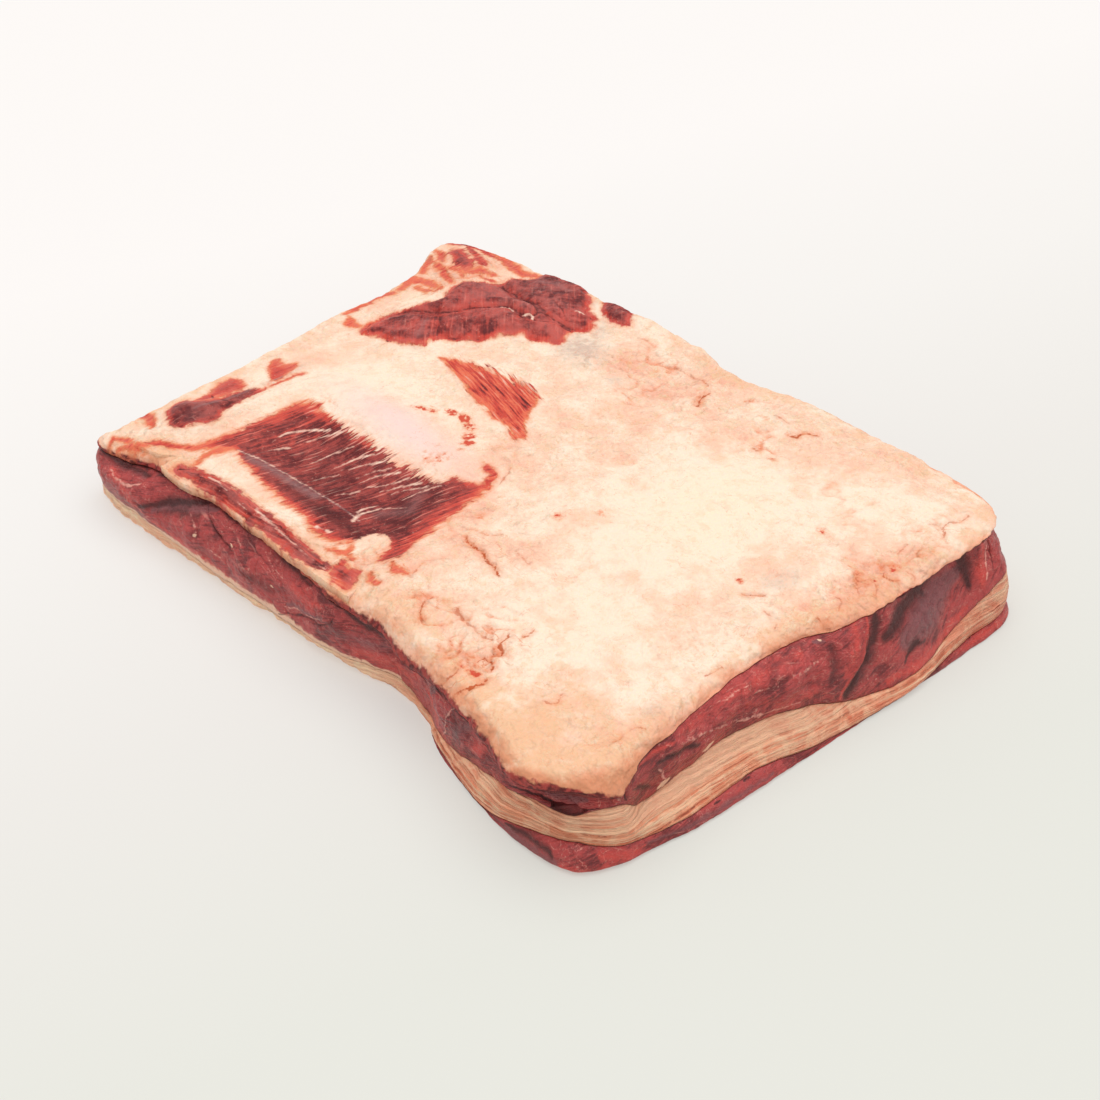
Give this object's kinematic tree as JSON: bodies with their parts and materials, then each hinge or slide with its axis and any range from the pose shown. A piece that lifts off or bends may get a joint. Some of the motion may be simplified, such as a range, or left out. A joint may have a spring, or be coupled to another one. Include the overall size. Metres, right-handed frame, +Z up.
{
  "type": "raw beef brisket",
  "caption": "Raw beef brisket slab, fat cap up, with layers of muscle and seam fat at its sides and lean windows in the cap.",
  "frame": {"origin": "centre of the bounding box's bottom face, on the surface that the slab rests on", "axes": "+X along the slab from its thin left end to its thick right end, +Y across it to the back, +Z up through the fat cap"},
  "size_m": [0.4041, 0.3, 0.0546],
  "materials": {
    "cap_fat": "cream and peach beef fat, moist satin, with pink creases",
    "muscle": "dark red raw muscle with a silvery skin, moist",
    "seam_fat": "peach fat in long fine strands, moist satin",
    "lower_muscle": "purple-red raw muscle, marbled, moist",
    "cap_lean": "dark red raw muscle with pale fibres, moist",
    "bright_lean": "bright orange-red raw muscle streaked with fat"
  },
  "bodies": {
    "root": {"fat_cap": "cap_fat", "upper_muscle": "muscle", "seam_fat": "seam_fat", "lower_muscle": "lower_muscle", "rib_lean": "cap_lean", "wedge_lean": "cap_lean", "edge_lean": "cap_lean", "strip_lean": "bright_lean", "triangle_lean": "bright_lean"}
  },
  "joints": []
}
